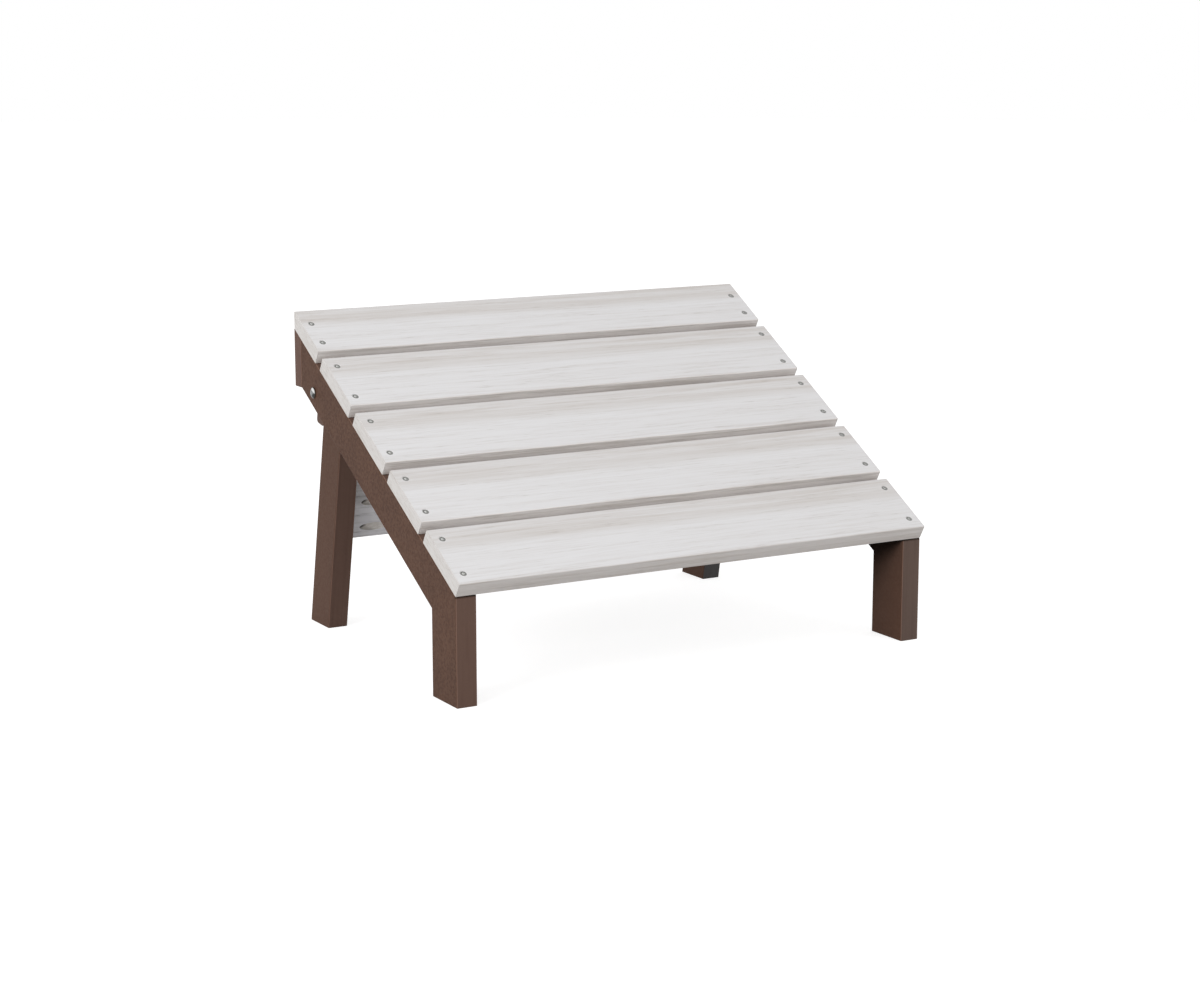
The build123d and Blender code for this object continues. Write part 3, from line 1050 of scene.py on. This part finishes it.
@dataclass(frozen=True)
class Screw:
    """A stainless screw with a square drive and a coarse thread, countersunk where its head has no height."""

    length: float = 0.038
    head_radius: float = 0.004
    shank_radius: float = 0.0021
    head_angle: float = 82.0
    head_height: float = 0.0
    brim: float = 0.0003
    neck: float = 0.0001
    pitch: float = 0.0016
    thread_depth: float = 0.0005
    smooth: float = 0.010
    eased: float = 0.0006
    drive: float = 0.0025
    drive_depth: float = 0.0007
    drive_corner: float = 0.0003
    clearance: float = 0.0001
    flare: float = 0.004

    @property
    def spread(self) -> float:
        """How much wider the head's cone gets for each metre of its height."""
        return math.tan(math.radians(self.head_angle / 2))

    @property
    def cone(self) -> float:
        """How deep the head's cone reaches, which is nothing for a flat-bottomed head."""
        return 0.0 if self.head_height else (self.head_radius - self.shank_radius) / self.spread

    def rings(self) -> Outline:
        """The screw's outline.

        Returns:
            The radius and height of each ring, from the top of its head to its blunt end.
        """
        around_drive = self.drive * 0.74
        outline = [
            (around_drive, 0.0),
            (self.head_radius - self.eased, 0.0),
            (self.head_radius - self.eased * 0.6, -self.eased * 0.2),
            (self.head_radius, -(self.head_height or self.brim)),
            (self.shank_radius, -self.head_height - self.cone - self.neck),
            (self.shank_radius, -self.smooth),
        ]
        return outline + thread(self.shank_radius, self.thread_depth, self.pitch, self.smooth, self.length)

    def model(self, finishes: Finishes) -> Piece:
        """Models and dresses the screw.

        Args:
            finishes: The shared finishes.

        Returns:
            The screw, with the top of its head at Z = 0.
        """
        half = self.drive / 2
        screw = Bench.turned("screw", self.rings(), sides=32)
        Bench.dress(screw, finishes.steel)
        # The flat top round the drive gets the darker steel as painted shade.
        Bench.dress(screw, finishes.painted_shade_steel, lambda at, normal: normal.z > 0.99 and at.xy.length > half)
        tool = Bench.block("drive", (-half, -half, -self.drive_depth), (half, half, self.drive_depth))
        Bench.round_edges(tool, self.drive_corner, 2, lambda a, b: abs(a.z - b.z) > NEAR)
        Bench.dress(tool, finishes.steel)
        Bench.carve(screw, tool)
        return screw

    def drill(self, board: Piece, heads: list[Matrix]) -> None:
        """Takes countersunk holes, which flare out past the board's face, out of a board.

        Args:
            board: The board.
            heads: The places of the screws' heads.
        """
        wide = self.head_radius + self.clearance
        narrow = self.shank_radius + self.clearance
        hole = Bench.turned("screw_hole", [
            (wide + self.flare * self.spread, self.flare),
            (wide, 0.0),
            (narrow, -self.cone),
            (narrow, -self.length - self.clearance),
        ], sides=40)
        Bench.carve(board, Bench.repeat("holes", hole, heads))

    def drive_in(self, node: str, body: Body, heads: list[Matrix], finishes: Finishes) -> Piece:
        """Models and installs all the screws of a node."""
        screws = Bench.repeat(f"{node.removesuffix('s')}_set", self.model(finishes), heads)
        return install(screws, body, node, Slot.STEEL)


# ---------------------------------------------------------------- pivots

@dataclass(frozen=True)
class CarriageBolt:
    """A carriage bolt: domed head, square neck and a shank threaded towards its end."""

    head_radius: float = 0.0067
    head_height: float = 0.0034
    head_rim: float = 0.0008
    eased: float = 0.0001
    dome_steps: int = 12
    shank_radius: float = 0.003175
    length: float = 0.0636
    neck: float = 0.0066
    neck_depth: float = 0.004
    thread_from: float = 0.040
    pitch: float = 0.00127
    thread_depth: float = 0.0006
    clearance: float = 0.00006
    hole_top: float = 0.005
    neck_hole_top: float = 0.004
    sides: int = 64

    def rings(self) -> Outline:
        """The bolt's outline.

        Returns:
            The radius and height of each ring, from the top of its dome to its end.
        """
        dome = self.head_height - self.head_rim
        sphere = (self.head_radius**2 + dome**2) / (2 * dome)
        outline = []
        for step in range(1, self.dome_steps):
            radius = self.head_radius * step / self.dome_steps
            fall = sphere - math.sqrt(sphere**2 - radius**2)
            outline.append((radius, self.head_height - fall))
        outline += [
            (self.head_radius - self.eased, self.head_rim + self.eased * 2),
            (self.head_radius, self.head_rim - self.eased * 2),
            (self.head_radius - self.eased * 3, 0.0),
            (self.shank_radius, 0.0),
            (self.shank_radius, -self.thread_from),
        ]
        radius = self.shank_radius
        return outline + thread(radius, self.thread_depth, self.pitch, self.thread_from, self.length)

    def square(self, grown: float, top: float) -> Piece:
        """The square neck, grown all round and cut off at a height."""
        half = self.neck / 2 + grown
        return Bench.block("neck", (-half, -half, -self.neck_depth - grown), (half, half, top))

    def model(self) -> Piece:
        """Models the bolt.

        Returns:
            The bolt, with its head up and the panel's face at Z = 0.
        """
        bolt = Bench.turned("bolt", self.rings(), self.sides)
        Bench.carve(bolt, self.square(0.0, self.eased), "UNION")
        return bolt

    def drill(self, board: Piece, place: Matrix) -> None:
        """Takes the bolt's hole out of a board.

        Args:
            board: The board.
            place: Where the pivot meets the side panel's outer face.
        """
        radius = self.shank_radius + self.clearance
        tool = Bench.turned("bolt_hole", [(radius, self.hole_top), (radius, -self.length)], self.sides)
        Bench.carve(tool, self.square(self.clearance, self.neck_hole_top), "UNION")
        Bench.carve(board, Bench.settle(tool, place))


def bore_through(piece: Piece, radius: float, end: float) -> None:
    """Bores a piece along Z, from Z = 0 down to its end."""
    Bench.carve(piece, Bench.turned("bore", [(radius, PAST), (radius, end - PAST)]))


@dataclass(frozen=True)
class Ring:
    """A flat ring with rounded rims."""

    radius: float
    thickness: float
    bore: float = 0.0033
    rim: float = 0.0003

    def model(self) -> Piece:
        """Models the ring.

        Returns:
            The ring, with its outer face at Z = 0.
        """
        eased = self.rim * 0.3
        ring = Bench.turned("ring", [
            (self.radius - self.rim, 0.0),
            (self.radius - eased, -eased),
            (self.radius, -self.rim),
            (self.radius, self.rim - self.thickness),
            (self.radius - eased, eased - self.thickness),
            (self.radius - self.rim, -self.thickness),
        ], sides=64)
        bore_through(ring, self.bore, -self.thickness)
        return ring


@dataclass(frozen=True)
class LockNut:
    """A hexagonal lock nut with a round collar that holds a nylon ring."""

    flats: float = 0.0111
    height: float = 0.0056
    collar_radius: float = 0.0049
    collar_height: float = 0.0023
    bore: float = 0.0033
    bevel: float = 0.0007
    eased: float = 0.0001
    nylon: Ring = Ring(0.00409, 0.0015, bore=0.0032, rim=0.0002)
    nylon_depth: float = 0.0002
    seat_radius: float = 0.0041
    seat_depth: float = 0.0018

    @property
    def top(self) -> float:
        """The height of the collar's mouth, with the nut's seat at Z = 0."""
        return -self.height - self.collar_height

    def model(self) -> Piece:
        """Models the steel of the nut.

        Returns:
            The nut, with its seat at Z = 0.
        """
        corner = self.flats / 2 / math.cos(math.radians(30))
        bpy.ops.object.select_all(action="DESELECT")
        bpy.ops.mesh.primitive_cylinder_add(
            vertices=6, radius=corner, depth=self.height, location=(0.0, 0.0, -self.height / 2)
        )
        nut = Bench.settle(bpy.context.object)
        blank = Bench.turned("blank", [
            (corner - self.bevel, 0.0),
            (corner + self.eased, -self.bevel),
            (corner + self.eased, self.bevel * 0.6 - self.height),
            (corner - self.bevel, -self.height),
        ], sides=64)
        Bench.carve(nut, blank, "INTERSECT")
        collar = Bench.turned("collar", [
            (self.collar_radius, -self.height + self.eased * 5),
            (self.collar_radius, self.top + self.eased * 5),
            (self.collar_radius - self.eased * 2, self.top + self.eased),
            (self.collar_radius - self.eased * 5, self.top),
        ], sides=64)
        Bench.carve(nut, collar, "UNION")
        bore_through(nut, self.bore, self.top)
        seat = [(self.seat_radius, self.top - PAST), (self.seat_radius, self.top + self.seat_depth)]
        Bench.carve(nut, Bench.turned("seat", seat))
        return nut

    def insert(self) -> Piece:
        """Models the nylon ring, just inside the collar's mouth."""
        upper = self.top + self.nylon_depth + self.nylon.thickness
        return Bench.settle(self.nylon.model(), Matrix.Translation((0.0, 0.0, upper)))


@dataclass
class Pivot:
    """The bolt that one rear leg swings on, with its spacer, washer and lock nut."""

    survey: Survey
    finishes: Finishes
    side: Side
    bolt: CarriageBolt = CarriageBolt()
    nut: LockNut = LockNut()
    spacer: Ring = Ring(0.008, 0.0015)
    washer: Ring = Ring(0.009, 0.0016)

    def fit(self, piece: Piece, node: str, kind: str, finish: Material) -> Piece:
        """Names, places, dresses and installs one piece of the pivot.

        Args:
            piece: The piece, with its outer face at Z = 0, or with the panel's face there for the bolt.
            node: The CAD node that it stands for, without its side.
            kind: The last word of the piece's name.
            finish: Its material.

        Returns:
            The piece.
        """
        name = f"{node}_{self.side.word}"
        piece.name = f"{name}_{kind}"
        Bench.dress(piece, finish)
        place = self.survey.pivot_place(self.side)
        if node != "pivot_bolt":
            outer = max(abs(corner.x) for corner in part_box(name))
            place = place @ Matrix.Translation((0.0, 0.0, outer - abs(place.translation.x)))
        return install(Bench.settle(piece, place), Body.FRAME, name, Slot.STEEL)

    def build(self) -> Iterator[Piece]:
        """Models, dresses and installs the pieces.

        Yields:
            Each of the five.
        """
        steel = self.finishes.steel
        yield self.fit(self.bolt.model(), "pivot_bolt", "carriage", self.finishes.bolt_steel)
        yield self.fit(self.spacer.model(), "spacer", "ring", steel)
        yield self.fit(self.washer.model(), "washer", "ring", steel)
        yield self.fit(self.nut.model(), "lock_nut", "hexagon", steel)
        yield self.fit(self.nut.insert(), "lock_nut", "insert", self.finishes.nylon)


# ---------------------------------------------------------------- deck

@dataclass
class Deck:
    """The five slats and their screws. Number 1 is the rear one, whose back edge is plumb."""

    survey: Survey
    finishes: Finishes
    lumber: WhiteLumber = WhiteLumber()
    # The front slat's front face keeps a darker tone; the others' are painted lighter to make up for the shade in
    # the gaps.
    front_lumber: WhiteLumber = WhiteLumber(warm=srgb(221, 216, 213))
    screw: Screw = Screw()
    long_radius: float = 0.0012
    end_radius: float = 0.0006
    seeds: tuple[float, ...] = (1.37, 4.12, 7.73, 9.41, 12.86)

    def board(self, name: str, low: Vector, high: Vector, lap: float) -> Piece:
        """A slat with rounded long edges and eased ends, lying level.

        Args:
            name: The piece's name.
            low: Its lowest corner.
            high: Its highest corner.
            lap: How far the top of its back edge overhangs its underside.

        Returns:
            The slat.
        """
        middle = (low + high) / 2
        slat = Bench.block(name, low, (high.x, high.y - lap, high.z))
        Bench.push(slat, (0.0, lap, 0.0), lambda at: at.y > middle.y and at.z > middle.z)
        Bench.round_edges(slat, self.long_radius, 5, lambda a, b: not in_x_face(a, b))
        Bench.round_edges(slat, self.end_radius, 2, in_x_face)
        return slat

    def build(self) -> Iterator[Piece]:
        """Models, dresses and installs the slats and their screws.

        Yields:
            Each slat and each set of screws.
        """
        deck = self.survey.deck
        for number, seed in zip(SLATS, self.seeds):
            low, high = self.survey.span(f"slat_{number}", deck)
            lap = (high.z - low.z) * math.tan(self.survey.slope) if number == SLATS[0] else 0.0
            slat = Bench.settle(self.board(f"slat_{number}_board", low, high, lap), deck)
            # The rear slats get front faces painted lighter against the shade in the gaps.
            lumber = self.front_lumber if number == SLATS[-1] else self.lumber
            Bench.dress(slat, lumber.material(f"white_lumber_{number}", Lie.between(deck, low, high), seed))
            heads = self.survey.deck_heads[number]
            self.screw.drill(slat, heads)
            yield install(slat, Body.FRAME, f"slat_{number}", Slot.WHITE)
            yield self.screw.drive_in(f"slat_{number}_screws", Body.FRAME, heads, self.finishes)


# ---------------------------------------------------------------- side panels and apron

@dataclass
class SidePanel:
    """A dog-leg board: a sloping rail that turns down into the front leg."""

    survey: Survey
    side: Side
    screw: Screw = Screw()
    bolt: CarriageBolt = CarriageBolt()
    leg_depth: float = 0.058
    rail_depth: float = 0.0496
    arris: float = 0.001
    nose: float = 0.0015

    @property
    def lumber(self) -> BrownLumber:
        """The panel's lumber, whose edges are a little greyer on the right panel."""
        greyer = BrownLumber(edge=srgb(103, 86, 78), drawn=srgb(88, 71, 64))
        return greyer if self.side is Side.RIGHT else BrownLumber()

    def outline(self, name: str, low: Vector, high: Vector) -> Piece:
        """The dog-leg board with eased edges, and a rounder one at the top of its front.

        Args:
            name: The piece's name.
            low: The lowest corner of the panel.
            high: Its highest corner, at the upper end of the rail.

        Returns:
            The board.
        """
        rise = math.tan(self.survey.slope)
        run = high.y - low.y - self.leg_depth
        leg_back = low.y + self.leg_depth
        front_top = high.z - (high.y - low.y) * rise
        knee = front_top + self.leg_depth * rise - self.rail_depth / math.cos(self.survey.slope)
        panel = Bench.block(name, low, (high.x, leg_back, front_top))
        Bench.cut(panel, (0.0, 0.0, knee), (0.0, 0.0, 1.0))
        lift = (0.0, 0.0, self.leg_depth * rise)
        Bench.push(panel, lift, lambda at: at.y > leg_back - NEAR and at.z > knee + NEAR)
        Bench.pull(panel, (0.0, run, run * rise), lambda at, normal: normal.y > 0.9 and at.z > knee)
        Bench.merge_flats(panel)
        Bench.round_edges(panel, self.nose, 3, lambda a, b: (
            max(a.y, b.y) < low.y + NEAR and min(a.z, b.z) > front_top - NEAR))
        Bench.round_edges(panel, self.arris, 3, in_x_face)
        return panel

    def build(self) -> Iterator[Piece]:
        """Models, dresses, drills and installs the panel.

        Yields:
            The panel.
        """
        node = f"side_{self.side.word}"
        low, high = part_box(node)
        panel = self.outline(f"{node}_board", low, high)
        lie = Lie.between(Matrix(), low, high, self.side.outwards)
        Bench.dress(panel, self.lumber.material(f"brown_lumber_{node}", lie, self.survey.brow))
        heads = sum(self.survey.deck_heads.values(), []) + self.survey.apron_heads
        self.screw.drill(panel, [head for head in heads if head.translation.x * self.side.value > 0])
        self.bolt.drill(panel, self.survey.pivot_place(self.side))
        yield install(panel, Body.FRAME, node, Slot.BROWN)


@dataclass
class BackApron:
    """The board behind the rails, its top sloping with the slats."""

    survey: Survey
    finishes: Finishes
    lumber: BrownLumber = BrownLumber(edge=srgb(106, 81, 71))
    screw: Screw = Screw()
    arris: float = 0.001

    def build(self) -> Iterator[Piece]:
        """Models, dresses, drills and installs the apron and its screws.

        Yields:
            The apron and the set of screws.
        """
        low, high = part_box("back_apron")
        fall = (high.y - low.y) * math.tan(self.survey.slope)
        apron = Bench.block("back_apron_board", low, high)
        Bench.push(apron, (0.0, 0.0, -fall), lambda at: at.y < low.y + NEAR and at.z > high.z - NEAR)
        Bench.round_edges(apron, self.arris, 3, in_x_face)
        lie = Lie.between(Matrix(), low, high, GRAIN_ACROSS)
        Bench.dress(apron, self.lumber.material("brown_lumber_apron", lie))
        heads = self.survey.apron_heads
        self.screw.drill(apron, heads)
        yield install(apron, Body.FRAME, "back_apron", Slot.BROWN)
        yield self.screw.drive_in("apron_screws", Body.FRAME, heads, self.finishes)


# ---------------------------------------------------------------- rear leg frame

@dataclass
class StopBoard:
    """The brown board on the back edges of both rear legs, which meets the apron when they stand open."""

    survey: Survey
    finishes: Finishes
    lumber: BrownLumber = BrownLumber(mottle=0.35)
    screw: Screw = Screw()
    long_radius: float = 0.0044
    arris: float = 0.0006

    def build(self) -> Iterator[Piece]:
        """Models, dresses, drills and installs the board and its screws.

        Yields:
            The board and the set of screws.
        """
        legs = self.survey.legs
        low, high = self.survey.span("stop_board", legs)
        stop = Bench.block("stop_board_board", low, high)
        Bench.round_edges(stop, self.long_radius, 5, lambda a, b: not in_x_face(a, b))
        Bench.round_edges(stop, self.arris, 2, in_x_face)
        Bench.settle(stop, legs)
        lie = Lie.between(legs, low, high, GRAIN_ACROSS)
        Bench.dress(stop, self.lumber.material("brown_lumber_stop", lie))
        heads = self.survey.stop_heads
        self.screw.drill(stop, heads)
        yield install(stop, Body.REAR_LEGS, "stop_board", Slot.BROWN)
        yield self.screw.drive_in("stop_screws", Body.REAR_LEGS, heads, self.finishes)


@dataclass
class Stretcher:
    """The white board between the rear legs, held by two pocket screws at each end."""

    survey: Survey
    finishes: Finishes
    # Its pale is painted lighter than the slats' to make up for the shade under the deck; its streaks are bolder.
    lumber: WhiteLumber = WhiteLumber(
        pale=srgb(243, 242, 245), beige=srgb(176, 173, 170), fibre_and_shade=srgb(96, 93, 90), dashed=0.7)
    screw: Screw = Screw(length=0.0342, head_radius=0.0042, head_height=0.0022, smooth=0.008)
    pocket_radius: float = 0.00475
    pocket_reach: float = 0.055
    long_radius: float = 0.0012
    seed: float = 16.4

    def pockets(self) -> Piece:
        """Models a tool for all four pockets and their pilot holes.

        Returns:
            The tool.
        """
        narrow = self.screw.shank_radius + self.screw.clearance
        pocket = Bench.turned("pocket", [
            (self.pocket_radius, self.pocket_reach),
            (self.pocket_radius, -self.screw.head_height),
            (narrow, -self.screw.head_height),
            (narrow, -self.screw.length - self.screw.clearance),
        ])
        return Bench.repeat("pockets", pocket, self.survey.pocket_heads)

    def build(self) -> Iterator[Piece]:
        """Models, dresses, drills and installs the stretcher and its screws.

        Yields:
            The stretcher and the set of screws.
        """
        legs = self.survey.legs
        low, high = self.survey.span("stretcher", legs)
        board = Bench.block("stretcher_board", low, high)
        Bench.round_edges(board, self.long_radius, 5, lambda a, b: not in_x_face(a, b))
        Bench.settle(board, legs)
        lie = Lie.between(legs, low, high, turn(90, "X"))
        Bench.dress(board, self.lumber.material("white_lumber_stretcher", lie, self.seed))
        pockets = self.pockets()
        Bench.dress(pockets, PocketWall().material("pocket_wall", lie))
        Bench.carve(board, pockets)
        yield install(board, Body.REAR_LEGS, "stretcher", Slot.WHITE)
        yield self.screw.drive_in("pocket_screws", Body.REAR_LEGS, self.survey.pocket_heads, self.finishes)


@dataclass
class RearLeg:
    """A rear leg, with a round top about its pivot and a foot sawn level."""

    survey: Survey
    side: Side
    stretcher: Stretcher
    lumber: BrownLumber = BrownLumber(mottle=0.35)
    # The right leg's front face gets a dark grey painted shade.
    charcoal: BrownLumber = BrownLumber(
        mottle=0.35, edge=srgb(86, 84, 84), drawn=srgb(76, 74, 74), arris_highlight=srgb(92, 78, 72))
    bolt: CarriageBolt = CarriageBolt()
    screw: Screw = Screw()
    roundness: float = 0.9999
    arris: float = 0.001

    def build(self) -> Iterator[Piece]:
        """Models, dresses, drills and installs the leg, the right one with painted shade, a dark grey, on its
        front edge.

        Yields:
            The leg.
        """
        node = f"rear_leg_{self.side.word}"
        legs = self.survey.legs
        low, high = self.survey.span(node, legs)
        top_radius = (high.y - low.y) / 2 * self.roundness
        leg = Bench.block(f"{node}_board", low, high)
        Bench.round_edges(leg, top_radius, 24, lambda a, b: (
            min(a.z, b.z) > high.z - NEAR and not in_x_face(a, b)))
        Bench.settle(leg, legs)
        Bench.cut(leg, (0.0, 0.0, 0.0), (0.0, 0.0, -1.0), trim=True)
        Bench.close(leg)
        Bench.merge_flats(leg)
        Bench.round_edges(leg, self.arris, 3, in_x_face)
        lie = Lie.between(legs, low, high, self.side.outwards)
        Bench.dress(leg, self.lumber.material(f"brown_lumber_{node}", lie))
        self.bolt.drill(leg, self.survey.pivot_place(self.side))
        Bench.carve(leg, self.stretcher.pockets())
        self.screw.drill(leg, self.survey.stop_heads)
        # Painted shade: the right leg's front face is dressed dark grey.
        if self.side is Side.RIGHT:
            charcoal = self.charcoal.material("charcoal_front_edge", lie)
            Bench.dress(leg, charcoal, lambda at, normal: normal.y < -0.6)
        yield install(leg, Body.REAR_LEGS, node, Slot.BROWN)


# ---------------------------------------------------------------- studio

@dataclass(frozen=True)
class SoftLamp:
    """A large soft area lamp."""

    name: str
    place: Point
    target: Point
    size: float
    watts: float

    def build(self) -> None:
        """Adds the lamp, turned to its target."""
        data = bpy.data.lights.new(self.name, "AREA")
        data.shape = "SQUARE"
        data.size = self.size
        data.energy = self.watts
        lamp = bpy.data.objects.new(self.name, data)
        bpy.context.scene.collection.objects.link(lamp)
        lamp.location = self.place
        lamp.rotation_euler = (Vector(self.target) - Vector(self.place)).to_track_quat("-Z", "Y").to_euler()


@dataclass(frozen=True)
class Studio:
    """White surroundings, a pale floor, soft lamps and the camera."""

    camera_place: Point = (-1.4696, -2.5470, 0.7352)
    camera_turn: float = -29.94
    camera_pitch: float = -11.065
    lens: float = 75.73
    sensor: float = 36.0
    world_strength: float = 0.69
    floor_radius: float = 14.0
    floor_grey: float = 0.55
    floor_glow: float = 0.76
    lamps: tuple[SoftLamp, ...] = (
        SoftLamp("key_lamp", (-3.25, -1.12, 2.32), (0.0, 0.0, 0.2), 1.9, 53.0),
        SoftLamp("fill_lamp", (0.9, -2.9, 1.0), (0.0, 0.0, 0.2), 1.6, 11.0),
    )

    def build(self) -> None:
        """Sets up the whole studio."""
        self.add_camera()
        self.whiten_world()
        self.lay_floor()
        for lamp in self.lamps:
            lamp.build()
        bpy.context.scene.view_settings.view_transform = "Standard"

    def add_camera(self) -> None:
        """Adds the camera and makes it the scene's own."""
        data = bpy.data.cameras.new("camera")
        data.lens = self.lens
        data.sensor_width = self.sensor
        camera = bpy.data.objects.new("camera", data)
        bpy.context.scene.collection.objects.link(camera)
        camera.location = self.camera_place
        camera.rotation_euler = (math.radians(90 + self.camera_pitch), 0.0, math.radians(self.camera_turn))
        bpy.context.scene.camera = camera

    def whiten_world(self) -> None:
        """Makes the world white where it is seen, and a soft grey light everywhere else."""
        graph = Graph(bpy.data.worlds.new("white_surround"))
        strength = graph.seen() * (1 - self.world_strength) + self.world_strength
        sky = graph.node("ShaderNodeBackground", sockets={"Color": WHITE, "Strength": strength})
        bpy.context.scene.world = graph.end(sky, "ShaderNodeOutputWorld")

    def lay_floor(self) -> None:
        """Lays a wide floor that looks white and keeps the footrest's shadow."""
        bpy.ops.object.select_all(action="DESELECT")
        bpy.ops.mesh.primitive_circle_add(vertices=96, radius=self.floor_radius, fill_type="NGON")
        floor = bpy.context.object
        floor.name = "floor"
        graph = Graph(bpy.data.materials.new("pale_floor"))
        grey = (self.floor_grey, self.floor_grey, self.floor_grey, 1.0)
        glow = {"Color": WHITE, "Strength": graph.seen() * self.floor_glow}
        matt = graph.node("ShaderNodeBsdfDiffuse", sockets={"Color": grey})
        shine = graph.node("ShaderNodeEmission", sockets=glow)
        floor.data.materials.append(graph.end(graph.node("ShaderNodeAddShader", sockets={0: matt, 1: shine})))
        floor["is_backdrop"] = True


# ---------------------------------------------------------------- the whole footrest

def main() -> None:
    """Builds the studio and every sub-assembly in turn, and reports each piece."""
    logging.basicConfig(level=logging.INFO, format="%(message)s")
    Studio().build()
    survey, finishes = Survey(), Finishes()
    stretcher = Stretcher(survey, finishes)
    assemblies = [Deck(survey, finishes), BackApron(survey, finishes), StopBoard(survey, finishes), stretcher]
    for side in Side:
        leg = RearLeg(survey, side, stretcher)
        assemblies += [SidePanel(survey, side), leg, Pivot(survey, finishes, side)]
    for assembly in assemblies:
        for piece in assembly.build():
            log.info("%s: %s is in place", type(assembly).__name__, piece.name)


if __name__ == "__main__":
    main()
    boxes = {"cad": cad_box, "visual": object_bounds()}
    {name: [list(corner) for corner in box] for name, box in boxes.items()}
